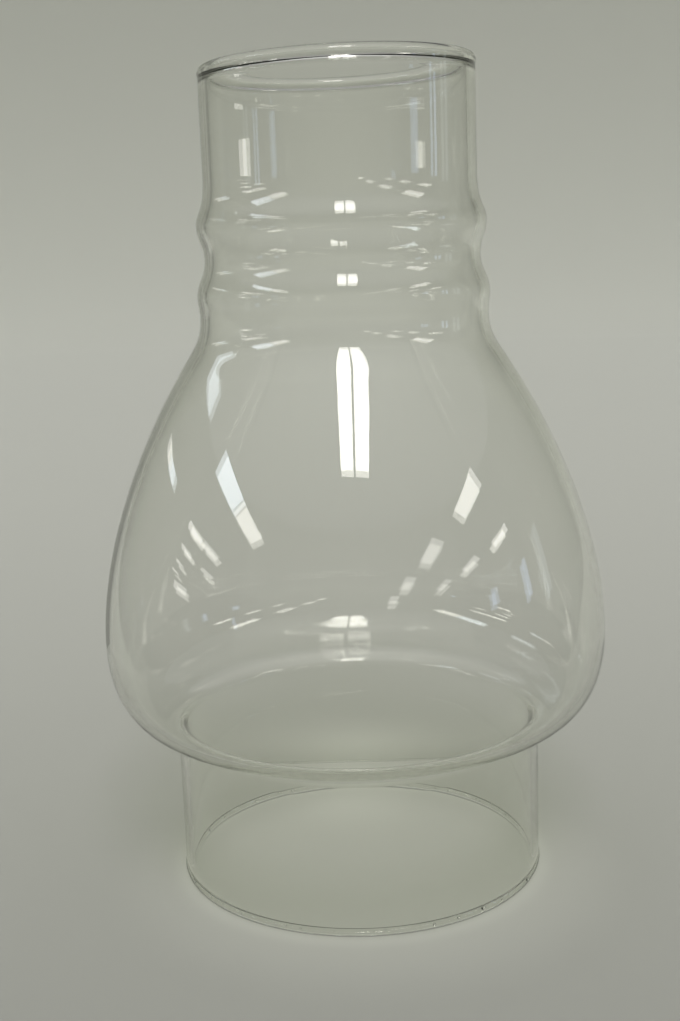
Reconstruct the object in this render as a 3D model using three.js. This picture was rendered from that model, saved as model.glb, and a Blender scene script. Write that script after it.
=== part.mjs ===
// The glass chimney of an oil lamp: one blown piece of clear glass, open at both ends.
// It stands on the round edge of its collar, with +Z up and the wick's line along Z.
// Sizes are millimetres. Heights are rises from one level to the next, from the foot up.
import * as THREE from "three";

// The collar, which drops inside the prongs of a burner.
const collarDiameter = 76.2;
const collarWall = 1.5;
const collarRise = 30.3;

// The round bead at the foot and the narrow flat that it is ground to.
const footBeadDiameter = 1.8;
const footBeadProud = 0.15;
const footFlatDepth = 0.06;

// The bulge: its underside leaves the collar in a tight curve and turns up at the knuckle.
const undersideRun = 5.9;
const undersideRise = 3.7;
const undersideSlope = 24;
const bulgeDiameter = 103.9;
const bulgeRise = 17.3;
const bulgeWall = 1.4;

// The long shoulder from the bulge to the neck, with the slope at its steepest place.
const shoulderDiameter = 66.6;
const shoulderRise = 54.7;
const shoulderSlope = 32.2;
const throatRise = 10.3;

// The two rings blown into the neck, and the groove between them.
const neckDiameter = 58.1;
const lowerRingDiameter = 58.8;
const lowerRingRise = 3.9;
const grooveDiameter = 55.2;
const grooveRise = 7.3;
const upperRingDiameter = 57.9;
const upperRingRise = 6.7;
const ringFadeRise = 9;

// The straight tube on top, and its fire-polished rim, which was cut a little out of square.
const tubeDiameter = 54.3;
const tubeWall = 1.85;
const tubeRise = 21.8;
const rimBeadDiameter = 2.7;
const rimBeadProud = 0.1;
const rimSlant = 1.3;

// The body leans a little over its foot, as hand-finished glass does.
const bodyLean = 0.34;

// How finely the round shapes are cut into flats.
const turns = 48;
const beadSteps = 5;
const ringSteps = 4;
const curveSteps = 6;

const radians = THREE.MathUtils.degToRad;

// Each curve holds its end directions over a share of the straight distance between levels.
const evenHold = 0.42;
const kneeHold = 0.15;
const bulgeHold = [0.64, 0.1];
const shoulderHold = [0.565, 0.42];
const ringFadeHold = [0.64, 0.26];

// The levels of the profile: radius, height and wall there, how far the wall turns out from
// upright on the way up, and the holds of the curves that end there and start there.
const levels = [];
function level(diameter, rise, wall, turnOut, steps, holdBelow = evenHold, holdAbove = evenHold) {
  const below = levels.at(-1);
  levels.push({
    radius: diameter / 2,
    height: (below ? below.height : 0) + rise,
    wall,
    turnOut: radians(turnOut),
    steps,
    holdBelow,
    holdAbove,
  });
  return levels.at(-1);
}
const kneeDiameter = collarDiameter + 2 * undersideRun;
level(collarDiameter, collarRise, collarWall, 0, 1);
level(kneeDiameter, undersideRise, collarWall, 90 - undersideSlope, curveSteps, evenHold, kneeHold);
const widest = level(bulgeDiameter, bulgeRise, bulgeWall, 0, curveSteps, ...bulgeHold);
level(shoulderDiameter, shoulderRise, tubeWall, -shoulderSlope, curveSteps, ...shoulderHold);
level(neckDiameter, throatRise, tubeWall, 0, ringSteps);
level(lowerRingDiameter, lowerRingRise, tubeWall, 0, ringSteps - 1);
level(grooveDiameter, grooveRise, tubeWall, 0, ringSteps);
level(upperRingDiameter, upperRingRise, tubeWall, 0, ringSteps, evenHold, ringFadeHold[1]);
const tubeFoot = level(tubeDiameter, ringFadeRise, tubeWall, 0, ringSteps, ringFadeHold[0]).height;
const rimHeight = tubeFoot + tubeRise;

// The outside of the wall as points with the wall's outward direction, from the collar up.
function outerWall() {
  const points = [];
  levels.slice(1).forEach((to, i) => {
    const from = levels[i];
    const start = new THREE.Vector2(from.radius, from.height);
    const end = new THREE.Vector2(to.radius, to.height);
    const span = start.distanceTo(end);
    const along = (l) => new THREE.Vector2(Math.sin(l.turnOut), Math.cos(l.turnOut));
    const curve = new THREE.CubicBezierCurve(
      start,
      start.clone().addScaledVector(along(from), from.holdAbove * span),
      end.clone().addScaledVector(along(to), -to.holdBelow * span),
      end,
    );
    for (let step = i === 0 ? 0 : 1; step <= to.steps; step++) {
      const share = step / to.steps;
      const run = curve.getTangent(share);
      points.push({
        place: curve.getPoint(share),
        outward: new THREE.Vector2(run.y, -run.x),
        wall: THREE.MathUtils.lerp(from.wall, to.wall, share),
      });
    }
  });
  return points;
}

// A bead round the end of the wall, from the angle where it meets the wall on one side
// to the angle where it meets it on the other. Angles run from straight outward.
function bead(centreRadius, centreHeight, beadRadius, fromAngle, toAngle) {
  const points = [];
  for (let step = 0; step <= beadSteps; step++) {
    const angle = THREE.MathUtils.lerp(fromAngle, toAngle, step / beadSteps);
    points.push(
      new THREE.Vector2(
        centreRadius + beadRadius * Math.cos(angle),
        centreHeight + beadRadius * Math.sin(angle),
      ),
    );
  }
  return points;
}

// The angle on a bead at which it is as far out from its centre as a wall is.
function meets(centreRadius, beadRadius, wallRadius) {
  const reach = THREE.MathUtils.clamp((wallRadius - centreRadius) / beadRadius, -1, 1);
  return Math.acos(reach);
}

// The whole closed outline: foot flat, outside, rim, inside, and back to the foot.
function outline() {
  const collarRadius = collarDiameter / 2;
  const footBead = footBeadDiameter / 2;
  const footCentre = collarRadius + footBeadProud - footBead;
  const footHeight = footBead - footFlatDepth;
  const flatAngle = Math.asin(footHeight / footBead);
  const footOutside = bead(
    footCentre,
    footHeight,
    footBead,
    -flatAngle,
    meets(footCentre, footBead, collarRadius),
  );
  const footInside = bead(
    footCentre,
    footHeight,
    footBead,
    meets(footCentre, footBead, collarRadius - collarWall),
    Math.PI + flatAngle,
  );
  const rimBead = rimBeadDiameter / 2;
  const tubeRadius = tubeDiameter / 2;
  const rimCentre = tubeRadius + rimBeadProud - rimBead;
  const rim = bead(
    rimCentre,
    rimHeight - rimBead,
    rimBead,
    -meets(rimCentre, rimBead, tubeRadius),
    Math.PI * 2 - meets(rimCentre, rimBead, tubeRadius - tubeWall),
  );
  const wall = outerWall();
  const outside = wall.map((p) => p.place);
  const inside = wall.map((p) => p.place.clone().addScaledVector(p.outward, -p.wall)).reverse();
  const closed = [...footOutside, ...outside, ...rim, ...inside, ...footInside];
  closed.push(closed[0].clone());
  return closed;
}

// The outline is turned about Z, then the rim is slanted and the body leant over the foot.
function glassBody() {
  const body = new THREE.LatheGeometry(outline(), turns);
  body.rotateX(Math.PI / 2);
  const place = body.getAttribute("position");
  const slant = Math.tan(radians(rimSlant));
  const lean = Math.tan(radians(bodyLean));
  for (let i = 0; i < place.count; i++) {
    const upTube = THREE.MathUtils.clamp((place.getZ(i) - tubeFoot) / tubeRise, 0, 1);
    place.setZ(i, place.getZ(i) + slant * upTube * place.getX(i));
    place.setX(i, place.getX(i) - lean * (place.getZ(i) - widest.height));
  }
  body.computeVertexNormals();
  return body;
}

const clearGlass = new THREE.MeshStandardMaterial({
  color: 0xeef1ec,
  roughness: 0.03,
  metalness: 0,
  transparent: true,
  opacity: 0.35,
});

const glassChimney = new THREE.Mesh(glassBody(), clearGlass);
glassChimney.name = "glass_chimney";

const lampChimney = new THREE.Group();
lampChimney.add(glassChimney);

export default lampChimney;
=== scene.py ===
# %% [markdown]
# # The glass chimney of an oil lamp
# The real object is one piece of clear blown glass. A glassblower blows it into a mould and
# cuts it off at both ends. A flame then melts the two cut edges round. This lesson turns
# that single wall of glass about its axis, gives it a finish that bends and mirrors light
# as glass does, and lights it so that the clear shape can be read.

import math
import random

import bmesh
import bpy
from mathutils import Matrix, Vector, geometry, noise


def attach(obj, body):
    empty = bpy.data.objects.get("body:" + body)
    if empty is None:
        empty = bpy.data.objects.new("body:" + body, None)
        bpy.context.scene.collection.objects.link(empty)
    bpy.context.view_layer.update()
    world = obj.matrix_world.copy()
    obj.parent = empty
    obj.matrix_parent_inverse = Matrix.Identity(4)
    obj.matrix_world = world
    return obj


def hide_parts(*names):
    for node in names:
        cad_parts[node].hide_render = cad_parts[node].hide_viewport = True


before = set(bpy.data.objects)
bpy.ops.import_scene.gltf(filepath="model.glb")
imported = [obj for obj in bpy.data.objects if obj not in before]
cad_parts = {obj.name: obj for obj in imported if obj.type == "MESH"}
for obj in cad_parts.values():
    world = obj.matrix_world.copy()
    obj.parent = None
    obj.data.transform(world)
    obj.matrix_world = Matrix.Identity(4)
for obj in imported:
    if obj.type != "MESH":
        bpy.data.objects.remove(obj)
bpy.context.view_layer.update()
mm = 0.001

# %% [markdown]
# ## The camera
# The chimney was seen from close by, less than a foot away, with the lens a little below its
# rim. Glass is read by its outline, so the camera comes first: an error of a degree would
# change every ellipse. It is turned by yaw, then pitch, then roll, because a roll comes last
# when a camera is held by hand.

# %% Place the camera
camera_place = Vector((0.3, -278.2, 129.9)) * mm
camera_yaw = math.radians(-0.56)
camera_pitch = math.radians(11.02)
camera_roll = math.radians(-1.69)
sensor_width = 36.0

camera_data = bpy.data.cameras.new("camera")
camera_data.sensor_width = sensor_width
camera_data.lens = 48.1
camera = bpy.data.objects.new("camera", camera_data)
bpy.context.scene.collection.objects.link(camera)
level_camera = Matrix.Rotation(math.radians(90) - camera_pitch, 4, "X")
camera.matrix_world = (
    Matrix.Translation(camera_place)
    @ Matrix.Rotation(-camera_yaw, 4, "Z")
    @ level_camera
    @ Matrix.Rotation(camera_roll, 4, "Z")
)
bpy.context.scene.camera = camera
bpy.context.scene.view_settings.view_transform = "Standard"
print("the lens is", round(camera_data.lens, 1), "mm on a sensor of", sensor_width, "mm")

# %% [markdown]
# ## Helpers
# A bmesh is a mesh under work. One helper turns a finished one into an object at the origin.
# The others join shader nodes with one short line each, so that the recipes below stay easy
# to read.

# %% Helpers for meshes and nodes
def finished(name, bm, material):
    """Turns a bmesh into a smooth object at the origin, with one material."""
    mesh = bpy.data.meshes.new(name)
    bm.to_mesh(mesh)
    bm.free()
    mesh.shade_smooth()
    mesh.materials.append(material)
    piece = bpy.data.objects.new(name, mesh)
    bpy.context.scene.collection.objects.link(piece)
    triangles = sum(len(face.vertices) - 2 for face in mesh.polygons)
    print(name, "has", triangles, "triangles")
    return piece


def new_material(name):
    """A material with an empty node tree, and its output node."""
    material = bpy.data.materials.new(name)
    material.use_nodes = True
    material.node_tree.nodes.clear()
    output = material.node_tree.nodes.new("ShaderNodeOutputMaterial")
    return material, output


def node(tree, kind, sources=None, **settings):
    """Adds a shader node. Sources maps an input to a value or to another node's output."""
    made = tree.nodes.new("ShaderNode" + kind)
    for key, value in settings.items():
        setattr(made, key, value)
    for key, source in (sources or {}).items():
        if isinstance(source, bpy.types.NodeSocket):
            tree.links.new(source, made.inputs[key])
        else:
            made.inputs[key].default_value = source
    return made


def maths(tree, operation, first, second=0.0, third=0.0):
    """One Math node's output."""
    made = node(tree, "Math", {0: first, 1: second, 2: third}, operation=operation)
    return made.outputs[0]


def ramp(tree, value, ends, results, interpolation="LINEAR"):
    """Goes from one result to another while a value goes from one end to the other."""
    sources = {
        "Value": value,
        "From Min": ends[0],
        "From Max": ends[1],
        "To Min": results[0],
        "To Max": results[1],
    }
    made = node(tree, "MapRange", sources, interpolation_type=interpolation)
    return made.outputs["Result"]


def blend_colours(tree, factor, first, second):
    """The output of a node that mixes two colours by another node's output."""
    made = node(tree, "Mix", {0: factor, 6: first, 7: second}, data_type="RGBA")
    return made.outputs[2]


def in_the_glass(tree):
    """One where something is seen as a mirror image in the glass, else zero.

    Such a ray comes straight from the glass and was mirrored at least once."""
    rays = node(tree, "LightPath")
    turned_back = maths(tree, "MINIMUM", rays.outputs["Glossy Depth"], 1.0)
    return maths(tree, "MULTIPLY", turned_back, rays.outputs["Is Glossy Ray"])


# %% [markdown]
# ## The profile of the wall
# Half of the chimney's outline is enough, because it is turned about the wick's line. The
# blown shape has no corners, so it could be one long curve with many points. It is clearer
# as a few levels where the glass is widest, narrowest or steepest, with a Bezier curve from
# each level to the next. The radii and heights are those of the frame.

# %% The levels, from the collar up
collar_diameter = 76.2 * mm
collar_wall = 1.5 * mm
bulge_wall = 1.4 * mm
tube_wall = 1.85 * mm
even_hold = 0.42

levels = []


def level(name, diameter, rise, wall, turn_out=0, hold_below=even_hold, hold_above=even_hold):
    """Adds a level: how wide it is, how far it lies over the one below, how thick its wall is,
    and how many degrees the wall turns out from upright there. The holds say over what share
    of the way to the next level below and above that direction is kept."""
    height = rise + (levels[-1]["height"] if levels else 0)
    turned_out = math.radians(turn_out)
    levels.append(
        {
            "radius": diameter / 2,
            "height": height,
            "wall": wall,
            "along": Vector((math.sin(turned_out), 0, math.cos(turned_out))),
            "hold_below": hold_below,
            "hold_above": hold_above,
        }
    )
    print(name, "is", round(diameter / mm, 1), "mm wide at", round(height / mm, 1), "mm")
    return levels[-1]


collar_top = level("collar", collar_diameter, rise=30.3 * mm, wall=collar_wall)
level("knee", 88 * mm, rise=3.7 * mm, wall=collar_wall, turn_out=66, hold_above=0.15)
widest = level(
    "bulge", 103.9 * mm, rise=17.3 * mm, wall=bulge_wall, hold_below=0.64, hold_above=0.1
)
level("shoulder", 66.6 * mm, rise=54.7 * mm, wall=tube_wall, turn_out=-32.2, hold_below=0.565)
level("neck", 58.1 * mm, rise=10.3 * mm, wall=tube_wall)
level("lower ring", 58.8 * mm, rise=3.9 * mm, wall=tube_wall)
level("groove", 55.2 * mm, rise=7.3 * mm, wall=tube_wall)
level("upper ring", 57.9 * mm, rise=6.7 * mm, wall=tube_wall, hold_above=0.26)
tube_foot = level("foot of the tube", 54.3 * mm, rise=9 * mm, wall=tube_wall, hold_below=0.64)
tube_rise = 21.8 * mm
rim_height = tube_foot["height"] + tube_rise
print("the rim is at", round(rim_height / mm, 1), "mm")

# %% [markdown]
# The two cut edges were melted round in a flame. Glass that melts draws itself into a bead
# a little thicker than the wall. A Bevel would give a plain round edge, so each bead is an arc
# of its own, with a fillet on each side that leads it into the wall.

# %% The round beads at the foot and the rim
bead_points = 22
fillet_points = 8


def bead(wall_radius, wall, end_height, bead_radius, proud, past_out, past_in, reach):
    """The outline over a rounded top edge, from the outside of the wall to its inside.

    The bead ends at an angle past level on each side, and a fillet of the given reach leads
    it into the wall there."""
    centre = Vector((wall_radius + proud - bead_radius, 0, end_height - bead_radius))
    arc = []
    for i in range(bead_points + 1):
        angle = -past_out + (math.pi + past_out + past_in) * i / bead_points
        arc.append(centre + bead_radius * Vector((math.cos(angle), 0, math.sin(angle))))
    hold = reach / 3
    slope_out = Vector((math.sin(past_out), 0, math.cos(past_out))) * hold
    slope_in = Vector((-math.sin(past_in), 0, math.cos(past_in))) * hold
    foot_out = Vector((wall_radius, 0, arc[0].z - reach))
    foot_in = Vector((wall_radius - wall, 0, arc[-1].z - reach))
    upright = Vector((0, 0, hold))
    fillet_out = geometry.interpolate_bezier(
        foot_out, foot_out + upright, arc[0] - slope_out, arc[0], fillet_points
    )
    fillet_in = geometry.interpolate_bezier(
        arc[-1], arc[-1] - slope_in, foot_in + upright, foot_in, fillet_points
    )
    return [*fillet_out[:-1], *arc, *fillet_in[1:]]


rim_bead = bead(
    tube_foot["radius"],
    tube_wall,
    rim_height,
    bead_radius=1.35 * mm,
    proud=0.1 * mm,
    past_out=math.radians(15),
    past_in=math.radians(50),
    reach=1.6 * mm,
)
foot_flat = 0.06 * mm
foot_upside_down = bead(
    collar_top["radius"],
    collar_wall,
    foot_flat,
    bead_radius=0.9 * mm,
    proud=0.15 * mm,
    past_out=math.radians(30),
    past_in=math.radians(30),
    reach=1.6 * mm,
)
foot_bead = [Vector((point.x, 0, max(0, -point.z))) for point in reversed(foot_upside_down)]

# %% The outside and the inside of the wall
curve_points = 20
straight_step = 2 * mm


def straight(radius, wall, bottom, top):
    """Points up an upright stretch, close enough together for even shading."""
    steps = math.ceil((top - bottom) / straight_step)
    heights = [bottom + (top - bottom) * i / steps for i in range(1, steps)]
    return [(Vector((radius, 0, height)), wall) for height in heights]


def wall_curve():
    """Points up the outside of the wall, each with the wall's thickness there."""
    collar_radius = collar_top["radius"]
    points = straight(collar_radius, collar_wall, foot_bead[-1].z, collar_top["height"])
    for lower, upper in zip(levels, levels[1:]):
        start = Vector((lower["radius"], 0, lower["height"]))
        end = Vector((upper["radius"], 0, upper["height"]))
        span = (end - start).length
        curve = geometry.interpolate_bezier(
            start,
            start + lower["along"] * lower["hold_above"] * span,
            end - upper["along"] * upper["hold_below"] * span,
            end,
            curve_points,
        )
        for i, point in enumerate(curve[:-1]):
            share = i / (curve_points - 1)
            points.append((point, lower["wall"] + share * (upper["wall"] - lower["wall"])))
    points.append((end, tube_wall))
    return points + straight(tube_foot["radius"], tube_wall, tube_foot["height"], rim_bead[0].z)


def inside_of(outside):
    """The points a wall's thickness in from the outside, square to it."""
    inside = []
    for i, (point, wall) in enumerate(outside):
        below = outside[max(i - 1, 0)][0]
        above = outside[min(i + 1, len(outside) - 1)][0]
        run = (above - below).normalized()
        inside.append(point - Vector((run.z, 0, -run.x)) * wall)
    return inside


outside = wall_curve()
glass_outline = [
    *foot_bead,
    *[point for point, wall in outside],
    *rim_bead,
    *reversed(inside_of(outside)),
]
print("the outline has", len(glass_outline), "points")

# %% [markdown]
# ## Turning the glass
# Spin turns the closed outline into a ring of glass with an outside, an inside and two round
# edges, so no separate step is needed for the wall's thickness. The last copy of the outline
# is merged with the first. Hand-made glass is never quite true: the body leans a little over
# its foot, the rim was cut a little out of square, and the wall waves by a few hundredths
# of a millimetre, which is too little to see in the outline but bends the reflections.

# %% Spin the outline
turns = 180
body_lean = math.tan(math.radians(0.34))
rim_slant = math.tan(math.radians(1.3))
wave_height = 0.05 * mm
wave_length = 26 * mm
waves_grow_over = 20 * mm


def turned(points):
    """A closed ring made by spinning a closed outline about the upright axis."""
    bm = bmesh.new()
    corners = [bm.verts.new(point) for point in points]
    edges = [bm.edges.new(pair) for pair in zip(corners, corners[1:] + corners[:1])]
    bmesh.ops.spin(
        bm,
        geom=corners + edges,
        cent=(0, 0, 0),
        axis=(0, 0, 1),
        angle=math.tau,
        steps=turns,
        use_merge=True,
    )
    bmesh.ops.remove_doubles(bm, verts=bm.verts, dist=0.001 * mm)
    bmesh.ops.recalc_face_normals(bm, faces=bm.faces)
    return bm


def leant(place):
    """Where a point of the true shape ends up when the body leans over its foot."""
    return place - Vector((body_lean * (place.z - widest["height"]), 0, 0))


def made_by_hand(bm):
    """Waves the wall, slants the rim and leans the body over its foot."""
    for corner in bm.verts:
        place = corner.co.copy()
        outward = Vector((place.x, place.y, 0)).normalized()
        wave = noise.noise(place / wave_length) * wave_height
        share = (place.z - tube_foot["height"]) / tube_rise
        calm_ends = min(1, place.z / waves_grow_over) * (1 - max(0, share) ** 2)
        slanted = Vector((0, 0, rim_slant * max(0, min(1, share)) * place.x))
        corner.co = leant(place) + outward * wave * calm_ends + slanted


# %% [markdown]
# ## The finish of the glass
# Clear glass has no colour of its own worth painting. What shows is what it bends, what it
# mirrors, and what it holds back on a long way through it. A Principled shader with full
# transmission bends and mirrors. A colour on that shader would tint a thin wall as much as a
# thick edge, so Volume Absorption holds the light back instead: hardly any through one wall,
# and an olive shade along the edges. A fine bump stands for the faint ripple that the mould
# leaves. Light that only passes on its way to the floor is let through with a mild shade,
# which is darker where the wall is edge-on, because bent light would need a long render.

# %% Clear glass
glass_tint = (0.928, 0.945, 0.855, 1.0)
glass_density = 120.0
ripple_height = 0.02 * mm
ripple_scale = 70.0
light_through = (0.975, 0.98, 0.965, 1.0)
light_edge_on = (0.8, 0.81, 0.79, 1.0)
glass_material, glass_output = new_material("clear_glass")
tree = glass_material.node_tree
coordinates = node(tree, "TexCoord")
ripple = node(
    tree,
    "TexNoise",
    {"Vector": coordinates.outputs["Object"], "Scale": ripple_scale, "Detail": 1.0},
)
ripple_bump = node(
    tree,
    "Bump",
    {"Height": ripple.outputs["Fac"], "Distance": ripple_height, "Strength": 1.0},
)
glass_shader = node(
    tree,
    "BsdfPrincipled",
    {
        "Base Color": (1.0, 1.0, 1.0, 1.0),
        "Roughness": 0.0,
        "IOR": 1.5,
        "Transmission Weight": 1.0,
        "Normal": ripple_bump.outputs["Normal"],
    },
)
held_back = node(tree, "VolumeAbsorption", {"Color": glass_tint, "Density": glass_density})
rays = node(tree, "LightPath")
passing = maths(tree, "MAXIMUM", rays.outputs["Is Shadow Ray"], rays.outputs["Is Diffuse Ray"])
edge_on = node(tree, "LayerWeight", {"Blend": 0.3})
shadow_colour = blend_colours(tree, edge_on.outputs["Facing"], light_through, light_edge_on)
light_shadow = node(tree, "BsdfTransparent", {"Color": shadow_colour})
glass_for_lamps = node(
    tree,
    "MixShader",
    {0: passing, 1: glass_shader.outputs[0], 2: light_shadow.outputs[0]},
)
tree.links.new(glass_for_lamps.outputs[0], glass_output.inputs["Surface"])
tree.links.new(held_back.outputs[0], glass_output.inputs["Volume"])
print("the glass takes", len(tree.nodes), "nodes")

# %% Make the chimney
body = turned(glass_outline)
made_by_hand(body)
chimney = finished("blown_glass_chimney", body, glass_material)
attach(chimney, "root")
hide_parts("glass_chimney")

# %% [markdown]
# ## Seeds in the foot
# Seeds are tiny bubbles that stay in the glass. When the foot's edge was melted round, a
# string of them was caught in its bead, drawn out along it. Each is a small ball that is
# stretched along the bead and lies wholly inside the glass.

# %% Scatter the seeds
seed_count = 40
seed_circle = collar_diameter / 2 - 0.75 * mm
seed_height = 0.85 * mm
seed_radius = (0.12 * mm, 0.34 * mm)
seed_stretch = (1.1, 2.2)
seed_wander = 0.2 * mm
seed_crowding = 0.45


def seeds():
    """Small stretched balls round the foot's bead, larger ones rare."""
    chance = random.Random(7)
    bm = bmesh.new()
    for i in range(seed_count):
        around = math.tau * (i + chance.uniform(-seed_crowding, seed_crowding)) / seed_count
        radius = seed_radius[0] + (seed_radius[1] - seed_radius[0]) * chance.random() ** 2
        stretch = chance.uniform(*seed_stretch)
        out = seed_circle + chance.uniform(-seed_wander, seed_wander)
        up = seed_height + chance.uniform(-seed_wander, seed_wander)
        stretched = Matrix.Diagonal((radius, radius * stretch, radius, 1))
        placed = (
            Matrix.Translation(leant(Vector((0, 0, up))))
            @ Matrix.Rotation(around, 4, "Z")
            @ Matrix.Translation((out, 0, 0))
        )
        bmesh.ops.create_uvsphere(
            bm, u_segments=10, v_segments=6, radius=1, matrix=placed @ stretched
        )
    bmesh.ops.recalc_face_normals(bm, faces=bm.faces)
    return bm


foot_seeds = finished("seeds_in_the_foot", seeds(), glass_material)
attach(foot_seeds, "root")

# %% [markdown]
# ## The stage
# Clear glass shows its surroundings, so they are part of its look. The floor is pale paper
# that turns up into a wall all round, with no line where it turns. It is spun from one line,
# as the glass is.

# %% The floor and its wall
floor_middle = 0.3
floor_radius = 1.6
wall_bend = 0.6
bend_steps = 24
wall_height = 1.3
floor_turns = 96
floor_drop = 0.02 * mm


def sweep_outline():
    """The floor's line from its middle out, up the bend and up the wall."""
    points = [Vector((0, 0, 0)), Vector((floor_middle, 0, 0)), Vector((floor_radius, 0, 0))]
    for i in range(1, bend_steps + 1):
        angle = math.radians(90) * i / bend_steps
        out = floor_radius + wall_bend * math.sin(angle)
        points.append(Vector((out, 0, wall_bend * (1 - math.cos(angle)))))
    points.append(Vector((floor_radius + wall_bend, 0, wall_height)))
    return points


def sweep():
    """The floor as a wide dish."""
    bm = bmesh.new()
    corners = [bm.verts.new(point) for point in sweep_outline()]
    edges = [bm.edges.new(pair) for pair in zip(corners, corners[1:])]
    bmesh.ops.spin(
        bm,
        geom=corners + edges,
        cent=(0, 0, 0),
        axis=(0, 0, 1),
        angle=math.tau,
        steps=floor_turns,
        use_merge=True,
    )
    bmesh.ops.remove_doubles(bm, verts=bm.verts, dist=0.01 * mm)
    bmesh.ops.recalc_face_normals(bm, faces=bm.faces)
    bmesh.ops.translate(bm, verts=bm.verts, vec=(0, 0, -floor_drop))
    return bm


# %% [markdown]
# ## The paper
# A plain paper sweep is never lit quite evenly. In front it lies in the soft shade of whoever
# looks at it, far back it is lighter, and up the wall it dims again. Lamps for that would
# show in the glass, so the shades are written into the paper's colour, in soft steps. Far
# from the chimney the front shade shows in mirror images alone, which keeps the backdrop
# even from every side.

# %% The paper's shades
paper_colour = (0.548, 0.555, 0.521)
front_shade = 0.21
front_shade_reach = 0.21
deepest_shade = 0.36
shade_ends = (0.3, 1.3)
far_light = 1.44
far_light_reach = (0.12, 1.8)
height_shade = 0.2
paper_material, paper_output = new_material("pale_paper")
tree = paper_material.node_tree
where = node(tree, "TexCoord")
along = node(tree, "SeparateXYZ", {"Vector": where.outputs["Object"]})


def distance_from(centre):
    """How far a place on the paper is from a centre."""
    made = node(
        tree, "VectorMath", {0: where.outputs["Object"], 1: centre}, operation="DISTANCE"
    )
    return made.outputs["Value"]


how_far = distance_from(Vector((0, 0, 0)))
fading = maths(tree, "EXPONENT", maths(tree, "DIVIDE", along.outputs["Y"], -front_shade_reach))
shade = maths(tree, "MINIMUM", maths(tree, "MULTIPLY", fading, front_shade), deepest_shade)
nearness = ramp(tree, how_far, shade_ends, (1.0, 0.0), "SMOOTHSTEP")
shade = maths(tree, "MULTIPLY", shade, maths(tree, "MAXIMUM", nearness, in_the_glass(tree)))
growing_light = ramp(tree, how_far, far_light_reach, (1.0, far_light))
paper_light = maths(tree, "MULTIPLY", growing_light, maths(tree, "SUBTRACT", 1.0, shade))
less_light = maths(tree, "MULTIPLY_ADD", along.outputs["Z"], -height_shade, 1.0)
paper_light = maths(tree, "MULTIPLY", paper_light, less_light)

# %% [markdown]
# The chimney gathers light as a lens does. A thin bright line follows its foot, a little
# towards the viewer, a wide pale patch lies round it, and soft glows lie inside and behind.
# Real bent light would need a very long render, so the paper itself is a little paler there.
# Where the foot's bead touches the paper lies a fine dark line of painted contact shadow, which
# the bead shows twice.

# %% The painted gathered light and painted contact shadow at the foot
line_centre = Vector((0.3, -1.6, 0)) * mm
line_radius = 38.2 * mm
line_width = 2.2 * mm
line_light = 0.12
inner_glow = (Vector((-2, 27, 0)) * mm, 13 * mm, 0.14)
back_glow = (Vector((0, 57, 0)) * mm, 18 * mm, 0.25)
patch_centre = Vector((2, -9, 0)) * mm
patch_ends = (30 * mm, 57 * mm)
patch_light = 0.19
contact_radius = 37.35 * mm
contact_width = 0.5 * mm
contact_shade = 0.6


def bell(distance, width):
    """One at the middle, falling softly to nothing within about two widths."""
    share = maths(tree, "DIVIDE", distance, width)
    return maths(tree, "EXPONENT", maths(tree, "MULTIPLY", maths(tree, "POWER", share, 2.0), -1.0))


def off_circle(centre, radius):
    """How far a place on the paper is from a circle, outside it or inside."""
    return maths(tree, "ABSOLUTE", maths(tree, "SUBTRACT", distance_from(centre), radius))


line_glow = bell(off_circle(line_centre, line_radius), line_width)
off_patch = distance_from(patch_centre)
glow = ramp(tree, off_patch, patch_ends, (1.0 + patch_light, 1.0), "SMOOTHSTEP")
glow = maths(tree, "MULTIPLY_ADD", line_glow, line_light, glow)
for centre, width, light in (inner_glow, back_glow):
    glow = maths(tree, "MULTIPLY_ADD", bell(distance_from(centre), width), light, glow)
paper_light = maths(tree, "MULTIPLY", paper_light, glow)
# A painted contact shadow: a fine dark ring in the paper's colour under the foot's bead.
contact_shadow = bell(off_circle(leant(Vector((0, 0, 0))), contact_radius), contact_width)
contact_light = maths(tree, "MULTIPLY_ADD", contact_shadow, -contact_shade, 1.0)
paper_light = maths(tree, "MULTIPLY", paper_light, contact_light)

# %% [markdown]
# At its sides the glass mirrors more than the paper in view. The sheet is narrow and ends
# behind at some height, and past its edges a darker table and a darker room are painted into
# the paper as a painted reflection. Only mirrored rays may find them, so that the backdrop
# stays plain, and Light Path tells those rays apart. The sheet is narrowest beside the
# chimney and widens both to the front and away.

# %% The painted reflection of a darker table past the sheet's edges
soft_edge = 0.02
sheet_top = 0.62
left_in_front = (0.24, -1.1)
left_behind = (0.165, 0.65)
right_in_front = (0.21, -1.1)
right_behind = (0.18, 1.17)
right_far_behind = (0.30, 0.68)


def edge_line(beside, slope):
    """How far out an edge lies that starts beside the chimney and slopes with Y."""
    return maths(tree, "MULTIPLY_ADD", along.outputs["Y"], slope, beside)


left_edge = maths(tree, "MAXIMUM", edge_line(*left_in_front), edge_line(*left_behind))
bent_edge = maths(tree, "MINIMUM", edge_line(*right_behind), edge_line(*right_far_behind))
right_edge = maths(tree, "MAXIMUM", edge_line(*right_in_front), bent_edge)
to_the_left = maths(tree, "MULTIPLY", along.outputs["X"], -1.0)
past_left = maths(tree, "SUBTRACT", to_the_left, left_edge)
past_right = maths(tree, "SUBTRACT", along.outputs["X"], right_edge)
past_side = maths(tree, "MAXIMUM", past_left, past_right)
above_top = maths(tree, "SUBTRACT", along.outputs["Z"], sheet_top)
past_top = maths(tree, "MINIMUM", above_top, along.outputs["Y"])
on_painted_table = maths(tree, "DIVIDE", maths(tree, "MAXIMUM", past_side, past_top), soft_edge)
on_painted_table = maths(tree, "MINIMUM", maths(tree, "MAXIMUM", on_painted_table, 0.0), 1.0)
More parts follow.
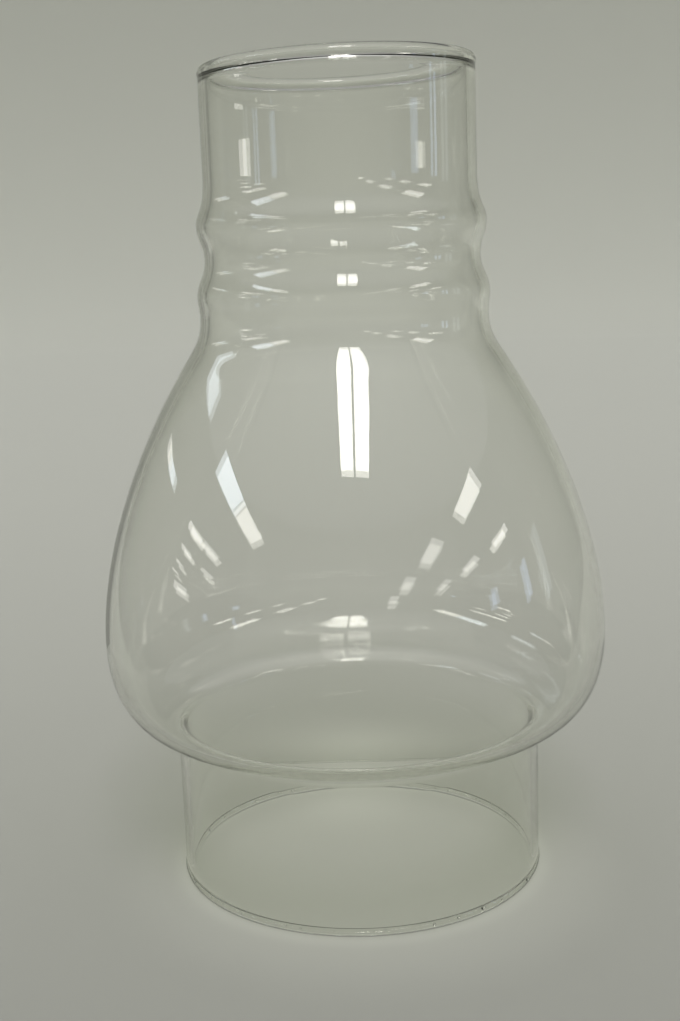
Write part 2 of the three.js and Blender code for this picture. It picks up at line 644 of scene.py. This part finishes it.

# %% [markdown]
# On the left the glass also mirrors something dark that is out of view. A painted dark strip on
# the floor, seen only in mirror images, stands for it as a painted reflection. It widens with
# its distance and begins a little behind the chimney.

# %% The painted dark strip on the left
strip_from = Vector((-0.05, -0.02))
strip_start = 0.17
strip_slope = 0.47
strip_half = 0.17
strip_softness = 0.06
strip_out = maths(tree, "SUBTRACT", strip_from.x, along.outputs["X"])
strip_back = maths(tree, "SUBTRACT", along.outputs["Y"], strip_from.y)
off_strip = maths(tree, "SUBTRACT", maths(tree, "DIVIDE", strip_out, strip_back), strip_slope)
on_painted_strip = maths(tree, "SUBTRACT", strip_half, maths(tree, "ABSOLUTE", off_strip))
on_painted_strip = maths(tree, "MAXIMUM", maths(tree, "DIVIDE", on_painted_strip, strip_softness), 0.0)
on_painted_strip = maths(tree, "MINIMUM", on_painted_strip, maths(tree, "GREATER_THAN", strip_back, strip_start))

# %% The paper with the painted reflections of what lies beyond it
fading_heights = (0.0, 0.35)
table_shades = (0.45, 0.35)
strip_shades = (0.42, 0.15)
# Painted reflections: the paper is darker only in mirror images, where the table and the strip
# lie.
table_darkness = ramp(tree, along.outputs["Z"], fading_heights, table_shades)
strip_darkness = ramp(tree, along.outputs["Z"], fading_heights, strip_shades)
table_shade = maths(tree, "MULTIPLY", on_painted_table, table_darkness)
strip_shade = maths(tree, "MULTIPLY", on_painted_strip, strip_darkness)
painted_mirror_shade = maths(tree, "MAXIMUM", table_shade, strip_shade)
painted_mirror_shade = maths(tree, "MULTIPLY", painted_mirror_shade, in_the_glass(tree))
paper_light = maths(tree, "MULTIPLY", paper_light, maths(tree, "SUBTRACT", 1.0, painted_mirror_shade))
lit_paper = node(tree, "VectorMath", {0: paper_colour, "Scale": paper_light}, operation="SCALE")
paper_shader = node(tree, "BsdfDiffuse", {"Color": lit_paper.outputs[0], "Roughness": 0.6})
tree.links.new(paper_shader.outputs[0], paper_output.inputs["Surface"])
print("the paper's colour takes", len(tree.nodes), "nodes")
floor = finished("floor", sweep(), paper_material)

# %% [markdown]
# ## The light
# Soft light from all round keeps the paper even. It comes from the world, and for the paper
# its strength is the same everywhere. In the glass the world shows as a room: dim walls, and
# in mirror images a brighter ceiling in front of the chimney, where the lamps are.

# %% Soft light from the room
room_colour = (1.0, 1.0, 0.98, 1.0)
room_light = 0.675
seen_walls = 0.34
seen_ceiling = 0.78
ceiling_ends = (0.48, 0.85)
front_ends = (0.05, -0.35)
ceiling_behind = 0.15
world = bpy.data.worlds.new("room")
bpy.context.scene.world = world
world.use_nodes = True
tree = world.node_tree
tree.nodes.clear()
world_output = node(tree, "OutputWorld")
facing = node(tree, "TexCoord")
direction = node(tree, "SeparateXYZ", {"Vector": facing.outputs["Generated"]})
overhead_share = ramp(tree, direction.outputs["Z"], ceiling_ends, (0.0, 1.0))
front_share = ramp(tree, direction.outputs["Y"], front_ends, (ceiling_behind, 1.0))
ceiling_share = maths(tree, "MULTIPLY", overhead_share, front_share)
seen_room = maths(tree, "MULTIPLY_ADD", ceiling_share, seen_ceiling - seen_walls, seen_walls)
through_glass = node(tree, "LightPath").outputs["Is Glossy Ray"]
strength = node(tree, "Mix", {0: through_glass, 2: room_light, 3: seen_walls}).outputs[0]
strength = node(tree, "Mix", {0: in_the_glass(tree), 2: strength, 3: seen_room}).outputs[0]
room = node(tree, "Background", {"Color": room_colour, "Strength": strength})
tree.links.new(room.outputs[0], world_output.inputs["Surface"])
print("the room lights the paper with a strength of", room_light)

# %% [markdown]
# The bright marks on the glass are the ceiling lamps of a large room: oblong panels in rows,
# all at one height and all facing down. Far ones would be hidden by the paper's wall, so each
# is brought nearer along the line from the chimney and made smaller by as much, which leaves
# its mirror image as it was. The camera itself sees none of them.

# %% Lamps as bright panels
seen_from = Vector((0, 0, 0.09))
farthest = 1.95
white = (1.0, 0.98, 0.93)
daylight = (0.84, 0.92, 1.0)
blue_sky = (0.55, 0.7, 1.0)


def panel(name, place, facing, width, length, radiance, colour=white):
    """An area lamp that faces one way, brought near enough and made smaller by as much.

    It shows in the glass but doesn't light the paper, since the soft light stands for it."""
    away = Vector(place) - seen_from
    nearer = min(1, farthest / away.length)
    lamp = bpy.data.lights.new(name, "AREA")
    lamp.shape = "RECTANGLE"
    lamp.size = width * nearer
    lamp.size_y = length * nearer
    lamp.color = colour
    lamp.energy = radiance * lamp.size * lamp.size_y * math.pi
    piece = bpy.data.objects.new(name, lamp)
    piece.location = seen_from + away * nearer
    piece.rotation_mode = "QUATERNION"
    piece.rotation_quaternion = Vector(facing).to_track_quat("-Z", "Y")
    piece.visible_camera = False
    piece.visible_diffuse = False
    bpy.context.scene.collection.objects.link(piece)
    return piece


# %% The pair overhead, which lights the paper too
ceiling = 1.5
down = (0, 0, -1)
overhead_edges = (-0.14, 0.335)
overhead_split = 0.09
overhead_gap = 0.035
overhead_length = 0.94
overhead_back = -1.16
overhead_radiance = 9.5
for side, left, right in (
    ("left", overhead_edges[0], overhead_split - overhead_gap / 2),
    ("right", overhead_split + overhead_gap / 2, overhead_edges[1]),
):
    place = ((left + right) / 2, overhead_back, ceiling)
    width = right - left
    overhead = panel("overhead_" + side, place, down, width, overhead_length, overhead_radiance)
    overhead.visible_diffuse = True
    print(overhead.name, "is", round(width, 3), "m wide")

# %% The other ceiling lamps: how far right, how far back, radiance and colour
lamp_width = 0.48
lamp_length = 0.93
narrow_rows = {"left_back": 0.7}
lamp_rows = {
    "left": [(-2.48, -0.88, 6.2, daylight), (-2.5, -1.87, 5.6, white)],
    "left_back": [(-2.34, 1.0, 2.6, daylight)],
    "far_left": [(-4.9, -0.7, 6.0, white), (-4.85, -1.7, 5.0, white)],
    "far_left_back": [(-4.65, 1.95, 3.0, daylight), (-4.6, 2.9, 2.0, white)],
    "third_left": [(-6.7, -0.65, 5.0, white), (-6.75, -2.45, 4.0, white)],
    "fourth_left": [(-8.9, -0.5, 4.5, white), (-11.2, -0.3, 4.5, white)],
    "right": [(2.56, -1.18, 5.8, white), (2.33, -2.98, 3.8, white)],
    "right_front": [(2.16, -4.75, 3.6, white), (2.0, -6.4, 4.0, white)],
    "far_right": [(4.75, -1.22, 6.0, white), (4.45, -3.0, 4.6, white), (4.1, -4.7, 3.5, white)],
}
for row, lamps in lamp_rows.items():
    width = lamp_width * narrow_rows.get(row, 1)
    for number, (right, back, radiance, colour) in enumerate(lamps, 1):
        place = (right, back, ceiling)
        panel(f"{row}_{number}", place, down, width, lamp_length, radiance, colour)
    print("lamps in the row", row, "-", len(lamps))

# %% [markdown]
# The upright streaks in the tube and the small bluish marks low in the bulge are windows and
# a door, which stand low in the room.

# %% The low windows and their sky
window_distance = 1.9


def window(name, azimuth, elevation, width, height, radiance, colour):
    """A pane that faces the chimney. Azimuth is counted clockwise from straight behind it,
    and elevation from the middle of the bulge, both in degrees."""
    around = math.radians(azimuth)
    up = window_distance * math.tan(math.radians(elevation))
    direction = Vector((math.sin(around), math.cos(around), 0))
    place = seen_from + direction * window_distance + Vector((0, 0, up))
    panel(name, place, -direction, width, height, radiance, colour)
    print(name, "is", width, "m wide and", height, "m high")


window("right_window", 95, 5.5, width=0.08, height=0.24, radiance=3.0, colour=blue_sky)
window("right_window_next", 115, 6.0, width=0.12, height=0.12, radiance=2.5, colour=blue_sky)
window("right_door", 82, 4, width=0.1, height=0.5, radiance=1.0, colour=daylight)
window("left_window", -96, 5.0, width=0.28, height=0.05, radiance=4.0, colour=white)
window("left_window_next", -127, 3.5, width=0.05, height=0.05, radiance=3.0, colour=blue_sky)
